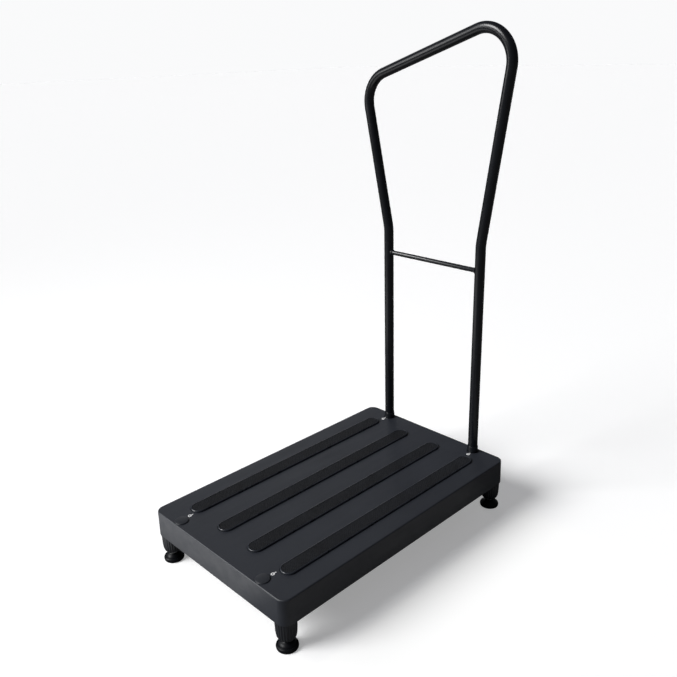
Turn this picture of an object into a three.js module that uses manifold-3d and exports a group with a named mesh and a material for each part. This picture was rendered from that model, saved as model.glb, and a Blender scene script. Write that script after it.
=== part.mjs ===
// Single platform step with a lift-out handrail and four screw-adjustable feet.
// Units are millimetres. +Z is up, z = 0 is the floor, X is the width and Y the length.
// The handrail stands at the +Y end; the sockets at the -Y end are closed by plugs.
import * as THREE from 'three';
import { mergeVertices } from 'three/addons/utils/BufferGeometryUtils.js';
import Module from 'manifold-3d';

const wasm = await Module();
wasm.setup();

// ---- driving dimensions -------------------------------------------------------------------
const GAP = 0.3; // clearance between pieces that touch or turn in each other
const ROUND = 16; // sides of a round piece

const WIDTH = 356; // at the lower edge of the skirt
const LENGTH = 571.4;
const TOP_Z = 103; // standing surface
const SKIRT_Z = 55; // lower edge of the skirt
const DRAFT = 0.8; // how far each side leans in from its lower edge to the top
const CORNER_R = 17;
const EDGE_R = 2.3; // rounding between the standing surface and the skirt
const WALL = 3;
const PLATE = 4;

const RIB = { thickness: 3, height: 25, x: [-60, 60], y: [-140, 0, 140] };

const STRIP = { x: [-123, -41, 41, 123], width: 30, length: 482, proud: 3, recess: 1, edge: 1.4 };

const SOCKET_X = 111.5;
const SOCKET_Y = 270;
const SOCKET = { bore: 9.9, radius: 12.2, floorZ: 60, bottomZ: 58, flange: 2, boss: 14.2, ear: 20 };

const MARK = { x: 114, y: 252, ring: 3.3, hole: 1.5, tail: 3.8, tailWidth: 1.3, thickness: 0.4 };

const LEG_X = 158.6;
const LEG_Y = 267.2;
const LEG = { boss: 15.5, spigot: 12.5, spigotTop: 92, bore: 5.8, boreTop: 84, bottomZ: 20 };
const NUT = { acrossFlats: 17, height: 8, hole: 5.4 };
const STUD = { radius: 4.9, topZ: 62, collar: 7.6, collarZ: 14.6 };
const PAD = { socket: 7.6, socketLow: 4, socketHigh: 10, neck: 5.3, flange: 7.2 };

const TUBE_R = 9.5;
const TUBE_BORE = 8.3;
const RAIL = {
  bendZ: 525, // both uprights start to splay here
  cornerX: 170.5, // where an upright and the sloping top bar would meet
  lowCornerZ: 803.5,
  highCornerZ: 914.5,
  bendR: 90,
  cornerR: 55,
  arcStep: 11, // degrees of bend between two sections of the tube
};
const CROSSBAR = { z: 476, radius: 4.5 };
const COLLAR = { inner: 9.9, low: 10.9, high: 10.4, height: 13 };
const CLAMP = { z: 80, shank: 2.9, padLength: 2.2, knob: 11, knobLength: 9, standoff: 15 };

// Self-tapping screws. A leg screw lies on the inward diagonal of its corner; its tip and head
// are given by their distance from the middle of the leg.
const LEG_SCREW = { z: 72, shank: 1.8, head: 4, tip: 8.5, headBase: 16, headTop: 18.6 };
const SOCKET_SCREW = { shank: 1.8, head: 4, headHeight: 2.2, tipZ: 74, boss: 5 };

// ---- materials ----------------------------------------------------------------------------
const finish = (color, roughness, metalness) =>
  new THREE.MeshStandardMaterial({ color, roughness, metalness });
const MOULDED = finish(0x35373a, 0.5, 0);
const MOULDED_LEG = finish(0x2b2c2e, 0.5, 0);
const GRIP_RUBBER = finish(0x1e1f21, 0.75, 0);
const FOOT_RUBBER = finish(0x141416, 0.45, 0);
const GLOSS_BLACK = finish(0x111114, 0.25, 0.3);
const CAP_PLASTIC = finish(0x232427, 0.5, 0);
const STEEL = finish(0x9a9ca0, 0.35, 0.9);
const WHITE_PRINT = finish(0xe6e6e6, 0.6, 0);

// ---- helpers ------------------------------------------------------------------------------
const step = new THREE.Group();

/** Positions only, shared vertices merged, and no triangle that has collapsed to a line. */
function cleaned(geometry) {
  const bare = geometry.clone();
  bare.deleteAttribute('normal');
  bare.deleteAttribute('uv');
  const merged = mergeVertices(bare, 1e-4);
  const kept = [];
  const index = merged.index.array;
  for (let i = 0; i < index.length; i += 3) {
    const [a, b, c] = [index[i], index[i + 1], index[i + 2]];
    if (a !== b && b !== c && c !== a) kept.push(a, b, c);
  }
  merged.setIndex(kept);
  return merged;
}

/** A closed geometry as a manifold solid. */
function solid(geometry) {
  const { index, attributes } = cleaned(geometry);
  const vertProperties = Float32Array.from(attributes.position.array);
  const triVerts = Uint32Array.from(index.array);
  return new wasm.Manifold(new wasm.Mesh({ numProp: 3, vertProperties, triVerts }));
}

function geometryOf(manifold) {
  const mesh = manifold.getMesh();
  const geometry = new THREE.BufferGeometry();
  const position = new THREE.BufferAttribute(Float32Array.from(mesh.vertProperties), 3);
  geometry.setAttribute('position', position);
  geometry.setIndex(new THREE.BufferAttribute(Uint32Array.from(mesh.triVerts), 1));
  return geometry;
}

function addPiece(name, shape, material, x = 0, y = 0) {
  const geometry = shape.isBufferGeometry ? cleaned(shape) : geometryOf(shape);
  geometry.computeVertexNormals();
  const mesh = new THREE.Mesh(geometry, material);
  mesh.name = name;
  mesh.position.set(x, y, 0);
  step.add(mesh);
}

/** A closed ring of [radius, z] points, going up the outside, turned about the Z axis. */
function turned(profile, segments) {
  const points = profile.map(([r, z]) => new THREE.Vector2(r, z));
  points.push(points[0].clone());
  return new THREE.LatheGeometry(points, segments).rotateX(Math.PI / 2);
}

function cylinder(radius, lowZ, highZ, segments = ROUND) {
  const height = highZ - lowZ;
  const geometry = new THREE.CylinderGeometry(radius, radius, height, segments);
  return geometry.rotateX(Math.PI / 2).translate(0, 0, (lowZ + highZ) / 2);
}

function box(x0, x1, y0, y1, z0, z1) {
  const geometry = new THREE.BoxGeometry(x1 - x0, y1 - y0, z1 - z0);
  return geometry.translate((x0 + x1) / 2, (y0 + y1) / 2, (z0 + z1) / 2);
}

function roundedRectangle(width, length, radius) {
  const x = width / 2 - radius;
  const y = length / 2 - radius;
  const shape = new THREE.Shape();
  shape.absarc(x, y, radius, 0, Math.PI / 2);
  shape.absarc(-x, y, radius, Math.PI / 2, Math.PI);
  shape.absarc(-x, -y, radius, Math.PI, 1.5 * Math.PI);
  shape.absarc(x, -y, radius, 1.5 * Math.PI, 2 * Math.PI);
  return shape;
}

function extruded(shape, lowZ, highZ, curveSegments = 4) {
  const options = { depth: highZ - lowZ, bevelEnabled: false, curveSegments };
  return new THREE.ExtrudeGeometry(shape, options).translate(0, 0, lowZ);
}

/** An extrusion whose upper edge is rounded by size; its lower edge is cut square at lowZ. */
function roundedTop(shape, lowZ, highZ, size, curveSegments, bevelSegments) {
  const geometry = new THREE.ExtrudeGeometry(shape, {
    depth: highZ - lowZ,
    curveSegments,
    bevelThickness: size,
    bevelSize: size,
    bevelOffset: -size,
    bevelSegments,
  }).translate(0, 0, lowZ - size);
  const below = box(-LENGTH, LENGTH, -LENGTH, LENGTH, lowZ - 3 * size, lowZ);
  return solid(geometry).subtract(solid(below));
}

const ENDS = [
  ['front', -1],
  ['rear', 1],
];
const SIDES = [
  ['left', -1],
  ['right', 1],
];
const CORNERS = ENDS.flatMap(([end, sy]) =>
  SIDES.map(([side, sx]) => ({ id: `${end}_${side}`, sx, sy })),
);

// ---- deck ---------------------------------------------------------------------------------
/** A long outline with half-round ends, grown by the clearance all round. */
function stripOutline(clearance) {
  const radius = STRIP.width / 2 + clearance;
  const endY = (STRIP.length - STRIP.width) / 2;
  const shape = new THREE.Shape();
  shape.absarc(0, endY, radius, 0, Math.PI);
  shape.absarc(0, -endY, radius, Math.PI, 2 * Math.PI);
  return shape;
}

/** The leg screw runs along the inward diagonal of its corner. */
function alongDiagonal(geometry, sx, sy) {
  return geometry.rotateY(Math.PI / 2).rotateZ(Math.atan2(-sy, -sx));
}

/** The way in for a clamp, from a socket's bore out through its boss towards -Y. */
function clampHole() {
  const hole = cylinder(CLAMP.shank + GAP, 5, SOCKET.boss + 3, 12).rotateX(Math.PI / 2);
  return hole.translate(0, 0, CLAMP.z);
}

/** Leans a point of the skirt in by the draft at its height. */
function drafted(point) {
  const lean = (DRAFT * (point[2] - SKIRT_Z)) / (TOP_Z - SKIRT_Z);
  point[0] -= Math.sign(point[0]) * lean;
  point[1] -= Math.sign(point[1]) * lean;
}

function makeDeck() {
  const inset = 2 * (WALL + DRAFT);
  const inner = roundedRectangle(WIDTH - inset, LENGTH - inset, CORNER_R - WALL);
  const outer = roundedRectangle(WIDTH, LENGTH, CORNER_R);
  const underside = TOP_Z - PLATE;
  let deck = roundedTop(outer, SKIRT_Z, TOP_Z, EDGE_R, 4, 3).warp(drafted);
  deck = deck.subtract(solid(extruded(inner, SKIRT_Z - 1, underside, 3)));

  const halfWidth = (WIDTH - inset) / 2 + 1;
  const halfLength = (LENGTH - inset) / 2 + 1;
  const t = RIB.thickness / 2;
  const ribLow = underside - RIB.height;
  for (const x of RIB.x) {
    deck = deck.add(solid(box(x - t, x + t, -halfLength, halfLength, ribLow, underside + 1)));
  }
  for (const y of RIB.y) {
    deck = deck.add(solid(box(-halfWidth, halfWidth, y - t, y + t, ribLow, underside + 1)));
  }

  for (const { sx, sy } of CORNERS) {
    const atSocket = (geometry) => solid(geometry.translate(sx * SOCKET_X, sy * SOCKET_Y, 0));
    const atLeg = (geometry) => solid(geometry.translate(sx * LEG_X, sy * LEG_Y, 0));
    const ear = (geometry) => geometry.translate(-sx * SOCKET.ear, 0, 0);
    const bossTop = underside + 1;
    deck = deck.add(atSocket(cylinder(SOCKET.boss, SOCKET.bottomZ, bossTop)));
    deck = deck.add(atSocket(ear(cylinder(SOCKET_SCREW.boss, SOCKET.bottomZ, bossTop, 12))));
    deck = deck.add(atLeg(cylinder(LEG.boss, SKIRT_Z + GAP, bossTop)));
    deck = deck.subtract(atSocket(cylinder(SOCKET.radius + GAP, SKIRT_Z - 1, TOP_Z + 1)));
    const pilot = cylinder(SOCKET_SCREW.shank + GAP, SKIRT_Z, SOCKET_SCREW.tipZ + 1, 10);
    deck = deck.subtract(atSocket(ear(pilot)));
    deck = deck.subtract(atLeg(cylinder(LEG.spigot + GAP, SKIRT_Z - 1, LEG.spigotTop + GAP)));
    const passage = cylinder(LEG_SCREW.shank + GAP, LEG_SCREW.tip, LEG_SCREW.headTop + 2, 10);
    deck = deck.subtract(atLeg(alongDiagonal(passage, sx, sy).translate(0, 0, LEG_SCREW.z)));
    if (sy > 0) deck = deck.subtract(atSocket(clampHole()));
  }
  for (const x of STRIP.x) {
    const pocket = extruded(stripOutline(GAP), TOP_Z - STRIP.recess, TOP_Z + 1);
    deck = deck.subtract(solid(pocket.translate(x, 0, 0)));
  }
  return deck;
}
addPiece('deck_shell', makeDeck(), MOULDED);

STRIP.x.forEach((x, i) => {
  const low = TOP_Z - STRIP.recess;
  const strip = roundedTop(stripOutline(0), low, TOP_Z + STRIP.proud, STRIP.edge, 5, 2);
  addPiece(`grip_strip_${i + 1}`, strip, GRIP_RUBBER, x, 0);
});

// ---- sockets, their screws, marks and plugs -------------------------------------------------
/** A lined pocket for one leg of the handrail, with a flange and an ear held by one screw. */
function makeSocket(sx, sy) {
  const { bore, radius, floorZ, bottomZ, flange, boss, ear } = SOCKET;
  const flangeLow = bottomZ - flange;
  let socket = solid(cylinder(radius, flangeLow, TOP_Z - 0.2));
  socket = socket.add(solid(cylinder(boss, flangeLow, bottomZ)));
  const earX = -sx * ear;
  const earR = SOCKET_SCREW.boss;
  socket = socket.add(solid(cylinder(earR, flangeLow, bottomZ).translate(earX, 0, 0)));
  const [x0, x1] = [Math.min(earX, 0), Math.max(earX, 0)];
  socket = socket.add(solid(box(x0, x1, -earR, earR, flangeLow, bottomZ)));
  // The flange stops short of the skirt.
  const room = LENGTH / 2 - WALL - DRAFT - GAP - SOCKET_Y;
  const [y0, y1] = sy > 0 ? [room, 2 * radius] : [-2 * radius, -room];
  const skirtSide = box(-2 * radius, 2 * radius, y0, y1, flangeLow - 1, bottomZ + 1);
  socket = socket.subtract(solid(skirtSide));
  socket = socket.subtract(solid(cylinder(bore, floorZ, TOP_Z + 1)));
  socket = socket.subtract(solid(cylinder(3, flangeLow - 1, floorZ + 1, 12))); // drain
  const screwHole = cylinder(SOCKET_SCREW.shank + GAP, flangeLow - 1, bottomZ + 1, 10);
  socket = socket.subtract(solid(screwHole.translate(earX, 0, 0)));
  if (sy > 0) socket = socket.subtract(solid(clampHole()));
  return socket;
}

/** A self-tapping screw: shank up from z = 0, head hanging below it. */
function makeScrew(shankR, headR, headHeight, length) {
  return turned(
    [
      [0, -headHeight],
      [headR * 0.7, -headHeight],
      [headR, -headHeight * 0.45],
      [headR, 0],
      [shankR, 0],
      [shankR, length - 2],
      [0, length],
    ],
    10,
  );
}

/** A printed symbol: a small ring with a short bar that points along +Y. */
function makeMark() {
  const { ring, hole, tail, tailWidth, thickness } = MARK;
  const topZ = TOP_Z + thickness;
  const disc = solid(cylinder(ring, TOP_Z, topZ));
  const bar = box(-tailWidth / 2, tailWidth / 2, ring - 1, ring + tail, TOP_Z, topZ);
  return disc.add(solid(bar)).subtract(solid(cylinder(hole, TOP_Z - 1, TOP_Z + 1, 10)));
}

/** A low domed cap with a spigot that pushes into an empty socket. */
function makePlug() {
  const spigotR = SOCKET.bore - GAP;
  return turned(
    [
      [0, TOP_Z - 16],
      [spigotR - 1.5, TOP_Z - 16],
      [spigotR, TOP_Z - 13],
      [spigotR, TOP_Z + 0.1],
      [12.1, TOP_Z + 0.1],
      [12.1, TOP_Z + 1],
      [11.2, TOP_Z + 1.9],
      [8.4, TOP_Z + 2.5],
      [0, TOP_Z + 2.7],
    ],
    ROUND,
  );
}

for (const { id, sx, sy } of CORNERS) {
  const [x, y] = [sx * SOCKET_X, sy * SOCKET_Y];
  addPiece(`socket_${id}`, makeSocket(sx, sy), CAP_PLASTIC, x, y);
  const headZ = SOCKET.bottomZ - SOCKET.flange;
  const { shank, head, headHeight, tipZ } = SOCKET_SCREW;
  const screw = makeScrew(shank, head, headHeight, tipZ - headZ).translate(0, 0, headZ);
  addPiece(`socket_screw_${id}`, screw, STEEL, x - sx * SOCKET.ear, y);
  addPiece(`socket_mark_${id}`, makeMark(), WHITE_PRINT, sx * MARK.x, sy * MARK.y);
  if (sy < 0) addPiece(`socket_plug_${id}`, makePlug(), CAP_PLASTIC, x, y);
}

// ---- legs: sleeve, captive nut, screw, turning stud and rubber foot ---------------------------
const hexRadius = (acrossFlats) => acrossFlats / 2 / Math.cos(Math.PI / 6);

/** The tapering sleeve below each corner, open at the bottom, with a pocket for the nut. */
function makeLegSleeve(sx, sy) {
  const { spigot, spigotTop, bore, boreTop, bottomZ } = LEG;
  const outside = turned(
    [
      [0, bottomZ],
      [13.6, bottomZ],
      [14.8, bottomZ + 1.6],
      [16, bottomZ + 4],
      [16.9, bottomZ + 8],
      [17.6, bottomZ + 18],
      [18, SKIRT_Z - 1],
      [18, SKIRT_Z],
      [spigot, SKIRT_Z],
      [spigot, spigotTop - 2],
      [spigot - 2, spigotTop],
      [0, spigotTop],
    ],
    ROUND,
  );
  let sleeve = solid(outside).subtract(solid(cylinder(bore, bottomZ - 1, boreTop, 16)));
  const pocketR = hexRadius(NUT.acrossFlats) + GAP;
  const pocket = cylinder(pocketR, bottomZ - 1, bottomZ + NUT.height + GAP, 6);
  sleeve = sleeve.subtract(solid(pocket));
  const pilot = cylinder(LEG_SCREW.shank + GAP, LEG_SCREW.tip - GAP, LEG.spigot + 1, 10);
  return sleeve.subtract(solid(alongDiagonal(pilot, sx, sy).translate(0, 0, LEG_SCREW.z)));
}

function makeNut() {
  const low = LEG.bottomZ;
  const hexagon = solid(cylinder(hexRadius(NUT.acrossFlats), low, low + NUT.height, 6));
  return hexagon.subtract(solid(cylinder(NUT.hole, low - 1, low + NUT.height + 1, 16)));
}

/** The levelling screw: a threaded stud, a grip collar and a flange that turns in the foot. */
function makeFootScrew() {
  const { radius, topZ, collar, collarZ } = STUD;
  const { socketLow, socketHigh, flange } = PAD;
  const collarTop = LEG.bottomZ - GAP;
  return turned(
    [
      [0, socketLow + GAP],
      [flange, socketLow + GAP],
      [flange, socketHigh - GAP],
      [radius, socketHigh - GAP],
      [radius, collarZ],
      [collar, collarZ],
      [collar, collarTop],
      [radius, collarTop],
      [radius, topZ - 1.5],
      [radius - 1.5, topZ],
      [0, topZ],
    ],
    ROUND,
  );
}

/** The mushroom-shaped rubber foot, hollowed for the screw's flange. */
function makeFootPad() {
  const { socket, socketLow, socketHigh, neck } = PAD;
  return turned(
    [
      [0, 0],
      [16.6, 0],
      [18.2, 2],
      [18.2, 6],
      [17, 9],
      [13.4, 11.6],
      [8.6, 13.2],
      [7.4, 14.2],
      [neck, 14.2],
      [neck, socketHigh],
      [socket, socketHigh],
      [socket, socketLow],
      [0, socketLow],
    ],
    ROUND,
  );
}

for (const { id, sx, sy } of CORNERS) {
  const [x, y] = [sx * LEG_X, sy * LEG_Y];
  addPiece(`leg_sleeve_${id}`, makeLegSleeve(sx, sy), MOULDED_LEG, x, y);
  addPiece(`leg_nut_${id}`, makeNut(), STEEL, x, y);
  const { shank, head, headBase, headTop, tip } = LEG_SCREW;
  const pin = makeScrew(shank, head, headTop - headBase, headBase - tip - GAP).rotateX(Math.PI);
  const screw = alongDiagonal(pin.translate(0, 0, headBase), sx, sy).translate(0, 0, LEG_SCREW.z);
  addPiece(`leg_screw_${id}`, screw, STEEL, x, y);
  addPiece(`foot_screw_${id}`, makeFootScrew(), STEEL, x, y);
  addPiece(`foot_pad_${id}`, makeFootPad(), FOOT_RUBBER, x, y);
}

// ---- handrail -----------------------------------------------------------------------------
/** A path through corner points in the XZ plane, rounded, with sections only where it bends. */
class RailPath extends THREE.Curve {
  constructor(corners, radii, y) {
    super();
    this.stations = [];
    const first = new THREE.Vector2(...corners[0]);
    const last = new THREE.Vector2(...corners[corners.length - 1]);
    const add = (p, d) => {
      this.stations.push({ p: new THREE.Vector3(p.x, y, p.y), d: new THREE.Vector3(d.x, 0, d.y) });
    };
    let from = first;
    corners.slice(1, -1).forEach((corner, i) => {
      const at = new THREE.Vector2(...corner);
      const next = new THREE.Vector2(...corners[i + 2]);
      const before = at.clone().sub(from).normalize();
      const after = next.clone().sub(at).normalize();
      if (i === 0) add(first, before);
      const turn = Math.atan2(before.cross(after), before.dot(after));
      const reach = radii[i] * Math.tan(Math.abs(turn) / 2);
      const start = at.clone().addScaledVector(before, -reach);
      const leftward = new THREE.Vector2(-before.y, before.x);
      const centre = start.clone().addScaledVector(leftward, Math.sign(turn) * radii[i]);
      const degrees = THREE.MathUtils.radToDeg(Math.abs(turn));
      const steps = Math.max(2, Math.ceil(degrees / RAIL.arcStep));
      for (let k = 0; k <= steps; k++) {
        const angle = (turn * k) / steps;
        const direction = before.clone().rotateAround(new THREE.Vector2(), angle);
        add(start.clone().rotateAround(centre, angle), direction);
      }
      from = at;
    });
    add(last, last.clone().sub(from).normalize());
  }

  station(t) {
    return this.stations[Math.round(t * (this.stations.length - 1))];
  }

  getPointAt(t) {
    return this.station(t).p.clone();
  }

  getTangentAt(t) {
    return this.station(t).d.clone();
  }

  getSpacedPoints() {
    return this.stations.map(({ p }) => p.clone());
  }
}

const TUBE_END_Z = SOCKET.floorZ + 2.6; // on top of the end cap
const railPath = new RailPath(
  [
    [-SOCKET_X, TUBE_END_Z],
    [-SOCKET_X, RAIL.bendZ],
    [-RAIL.cornerX, RAIL.lowCornerZ],
    [RAIL.cornerX, RAIL.highCornerZ],
    [SOCKET_X, RAIL.bendZ],
    [SOCKET_X, TUBE_END_Z],
  ],
  [RAIL.bendR, RAIL.cornerR, RAIL.cornerR, RAIL.bendR],
  SOCKET_Y,
);

function makeHandrail() {
  const section = new THREE.Shape().absarc(0, 0, TUBE_R, 0, 2 * Math.PI);
  section.holes.push(new THREE.Path().absarc(0, 0, TUBE_BORE, 0, 2 * Math.PI));
  const steps = railPath.stations.length - 1;
  return new THREE.ExtrudeGeometry(section, { steps, extrudePath: railPath, curveSegments: 7 });
}
addPiece('handrail_tube', makeHandrail(), GLOSS_BLACK);

/** The thin bar between the uprights, its ends scooped to meet the round tubes. */
function makeCrossbar() {
  const bar = cylinder(CROSSBAR.radius, -SOCKET_X + 4, SOCKET_X - 4, 16).rotateY(Math.PI / 2);
  let crossbar = solid(bar.translate(0, SOCKET_Y, CROSSBAR.z));
  for (const x of [-SOCKET_X, SOCKET_X]) {
    const scoop = cylinder(TUBE_R + GAP, CROSSBAR.z - 20, CROSSBAR.z + 20, 24);
    crossbar = crossbar.subtract(solid(scoop.translate(x, SOCKET_Y, 0)));
  }
  return crossbar;
}
addPiece('handrail_crossbar', makeCrossbar(), GLOSS_BLACK);

/** A plug in the open lower end of an upright; its rim stands on the socket's floor. */
function makeEndCap() {
  const [low, rim] = [SOCKET.floorZ + GAP, TUBE_END_Z - GAP];
  const plugR = TUBE_BORE - GAP;
  const plugTop = rim + 10;
  const profile = [[0, low], [TUBE_R, low], [TUBE_R, rim], [plugR, rim], [plugR, plugTop], [0, plugTop]];
  return turned(profile, ROUND);
}

/** A thin sleeve round the foot of an upright, standing on the deck. */
function makeCollar() {
  const { inner, low, high, height } = COLLAR;
  const z = TOP_Z + GAP;
  const top = z + height;
  return turned([[inner, z], [low, z], [high, top - 1], [high - 0.4, top], [inner, top]], ROUND);
}

for (const [side, sx] of SIDES) {
  addPiece(`handrail_end_cap_${side}`, makeEndCap(), CAP_PLASTIC, sx * SOCKET_X, SOCKET_Y);
  addPiece(`handrail_collar_${side}`, makeCollar(), CAP_PLASTIC, sx * SOCKET_X, SOCKET_Y);
}

// ---- clamp screws that hold the handrail in the rear sockets ----------------------------------
/** The pressure pad at the screw's tip: it moves in and out with the screw but doesn't turn. */
function makeClampPad() {
  const tip = TUBE_R + GAP;
  const geometry = cylinder(CLAMP.shank, tip, tip + CLAMP.padLength, 12);
  return geometry.rotateX(Math.PI / 2).translate(0, 0, CLAMP.z);
}

/** A hand screw with a four-lobed knob, on an axis that points at the tube. */
function makeClampKnob() {
  const start = TUBE_R + GAP + CLAMP.padLength + GAP;
  const knobStart = SOCKET.boss + CLAMP.standoff;
  const knobEnd = knobStart + CLAMP.knobLength;
  let knob = solid(cylinder(CLAMP.shank, start, knobStart + 1, 12));
  knob = knob.add(solid(cylinder(CLAMP.knob * 0.8, knobStart, knobEnd)));
  for (let k = 0; k < 4; k++) {
    const angle = (k * Math.PI) / 2;
    const lobe = cylinder(CLAMP.knob * 0.42, knobStart, knobEnd, 10);
    const reach = CLAMP.knob * 0.6;
    knob = knob.add(solid(lobe.translate(reach * Math.cos(angle), reach * Math.sin(angle), 0)));
  }
  return geometryOf(knob).rotateX(Math.PI / 2).translate(0, 0, CLAMP.z);
}

for (const [side, sx] of SIDES) {
  addPiece(`clamp_pad_${side}`, makeClampPad(), STEEL, sx * SOCKET_X, SOCKET_Y);
  addPiece(`clamp_knob_${side}`, makeClampKnob(), CAP_PLASTIC, sx * SOCKET_X, SOCKET_Y);
}

export default step;
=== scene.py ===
"""A platform step with a lift-out handrail: the looks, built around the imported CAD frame.

Everything is in metres in the frame's own axes: +Z up, X across the step, Y along it, with the
handrail at +Y. Sizes are written in millimetres times MM.
"""

import math

import bmesh
import bpy
from mathutils import Matrix, Vector


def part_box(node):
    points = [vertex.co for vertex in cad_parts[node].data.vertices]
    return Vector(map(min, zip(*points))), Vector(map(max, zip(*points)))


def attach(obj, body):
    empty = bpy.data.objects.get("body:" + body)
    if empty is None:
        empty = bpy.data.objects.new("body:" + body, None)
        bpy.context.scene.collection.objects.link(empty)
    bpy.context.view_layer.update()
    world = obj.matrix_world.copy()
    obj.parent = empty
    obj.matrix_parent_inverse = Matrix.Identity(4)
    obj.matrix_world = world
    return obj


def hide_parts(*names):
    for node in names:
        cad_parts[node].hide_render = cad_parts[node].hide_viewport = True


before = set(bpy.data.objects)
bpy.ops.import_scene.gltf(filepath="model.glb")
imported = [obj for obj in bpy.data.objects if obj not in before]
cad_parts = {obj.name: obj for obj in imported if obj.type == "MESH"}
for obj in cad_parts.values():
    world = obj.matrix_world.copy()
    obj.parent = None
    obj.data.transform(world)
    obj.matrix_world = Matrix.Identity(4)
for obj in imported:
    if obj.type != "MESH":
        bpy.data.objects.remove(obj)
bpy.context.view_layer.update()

MM = 0.001
SIDES = {"left": -1, "right": 1}
ENDS = {"front": -1, "rear": 1}
CORNERS = [(f"{end}_{side}", sx, sy) for end, sy in ENDS.items() for side, sx in SIDES.items()]


# ---- places and sizes taken from the frame ------------------------------------------------------
def box_of(node):
    low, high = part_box(node)
    return Vector(low), Vector(high)


def middle_of(node):
    low, high = box_of(node)
    return (low + high) / 2


deck_low, deck_high = box_of("deck_shell")
HALF_WIDTH = deck_high.x
HALF_LENGTH = deck_high.y
TOP = deck_high.z
SKIRT = deck_low.z
strip_low, strip_high = box_of("grip_strip_1")
leg_at = middle_of("leg_sleeve_rear_right")
socket_at = middle_of("handrail_collar_right")
rail_low, rail_high = box_of("handrail_tube")


# ---- mesh helpers -------------------------------------------------------------------------------
def piece(name, vertices, faces, material, smooth_angle=38):
    """A mesh object with smooth faces and sharp edges where the surface turns by more than the angle."""
    mesh = bpy.data.meshes.new(name)
    mesh.from_pydata([tuple(v) for v in vertices], [], faces)
    mesh.validate()
    obj = bpy.data.objects.new(name, mesh)
    bpy.context.scene.collection.objects.link(obj)
    materials = material if isinstance(material, (list, tuple)) else [material]
    for m in materials:
        mesh.materials.append(m)
    shade(obj, smooth_angle)
    return obj


def shade(obj, smooth_angle=38):
    mesh = obj.data
    mesh.polygons.foreach_set("use_smooth", [True] * len(mesh.polygons))
    mesh.set_sharp_from_angle(angle=math.radians(smooth_angle))
    mesh.update()


def weigh_normals(obj):
    """Large flat faces keep their own normal, so that only the roundings are shaded as round."""
    modifier = obj.modifiers.new("weighted normals", "WEIGHTED_NORMAL")
    modifier.keep_sharp = True
    modifier.weight = 80


def skin(loops, closed=False):
    """Faces over a stack of loops of equal length, with both ends capped, or the last joined to the first."""
    n = len(loops[0])
    vertices = [Vector(p) for loop in loops for p in loop]
    faces = []
    last = len(loops) - 1
    pairs = [(k, k + 1) for k in range(last)]
    if closed:
        pairs.append((last, 0))
    for a, b in pairs:
        for i in range(n):
            j = (i + 1) % n
            faces.append((a * n + i, a * n + j, b * n + j, b * n + i))
    if not closed:
        faces.append(tuple(reversed(range(n))))
        faces.append(tuple(range(last * n, last * n + n)))
    return vertices, faces


def turned(profile, segments, radius_at=None, closed=False):
    """A profile of (radius, z) points turned about Z, from its lower end up the outside."""
    change = radius_at or (lambda radius, z, angle: radius)
    loops = []
    for radius, z in profile:
        loop = []
        for i in range(segments):
            angle = math.tau * i / segments
            r = change(radius, z, angle)
            loop.append((r * math.cos(angle), r * math.sin(angle), z))
        loops.append(loop)
    return skin(loops, closed=closed)


def arc(centre, radius, start, end, steps):
    """Points (a, b) on an arc about a centre, with its angles in degrees."""
    points = []
    for k in range(steps + 1):
        angle = math.radians(start + (end - start) * k / steps)
        points.append((centre[0] + radius * math.cos(angle), centre[1] + radius * math.sin(angle)))
    return points


def rounded_rectangle(half_x, half_y, radius, steps=10):
    points = []
    for sx, sy, start in ((1, 1, 0), (-1, 1, 90), (-1, -1, 180), (1, -1, 270)):
        centre = (sx * (half_x - radius), sy * (half_y - radius))
        points += arc(centre, radius, start, start + 90, steps)
    return points


def stadium(radius, half_straight, steps=20):
    """A long outline with half-round ends, along Y."""
    far_end = arc((0, half_straight), radius, 0, 180, steps)
    near_end = arc((0, -half_straight), radius, 180, 360, steps)
    return far_end + near_end


def at_height(outline, z):
    return [(x, y, z) for x, y in outline]


def in_mm(points):
    """Points given in millimetres, in metres."""
    return [(a * MM, b * MM) for a, b in points]


def moved(data, x=0.0, y=0.0, z=0.0):
    vertices, faces = data
    return [v + Vector((x, y, z)) for v in vertices], faces


def rotated(data, degrees, axis):
    vertices, faces = data
    matrix = Matrix.Rotation(math.radians(degrees), 3, axis)
    return [matrix @ v for v in vertices], faces


def rod(radius, low, high, segments=32):
    return turned([(radius, low), (radius, high)], segments)


def block(x0, x1, y0, y1, z0, z1):
    outline = [(x0, y0), (x1, y0), (x1, y1), (x0, y1)]
    return skin([at_height(outline, z0), at_height(outline, z1)])


def combine(obj, data, operation):
    """Joins a closed tool to obj, or cuts it away, or keeps what is common."""
    tool_mesh = bpy.data.meshes.new("tool")
    tool_mesh.from_pydata([tuple(v) for v in data[0]], [], data[1])
    bm = bmesh.new()
    bm.from_mesh(tool_mesh)
    bmesh.ops.recalc_face_normals(bm, faces=bm.faces)
    bm.to_mesh(tool_mesh)
    bm.free()
    tool = bpy.data.objects.new("tool", tool_mesh)
    bpy.context.scene.collection.objects.link(tool)
    modifier = obj.modifiers.new("combine", "BOOLEAN")
    modifier.object = tool
    modifier.operation = operation
    modifier.solver = "MANIFOLD"
    evaluated = obj.evaluated_get(bpy.context.evaluated_depsgraph_get())
    result = bpy.data.meshes.new_from_object(evaluated)
    obj.modifiers.clear()
    old = obj.data
    obj.data = result
    result.name = obj.name
    bpy.data.meshes.remove(old)
    bpy.data.objects.remove(tool)
    bpy.data.meshes.remove(tool_mesh)


def join(obj, data):
    combine(obj, data, "UNION")


def cut(obj, data):
    combine(obj, data, "DIFFERENCE")


def outward(obj):
    """Turns every face of a closed mesh outwards."""
    bm = bmesh.new()
    bm.from_mesh(obj.data)
    bmesh.ops.recalc_face_normals(bm, faces=bm.faces)
    bm.to_mesh(obj.data)
    bm.free()


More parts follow.
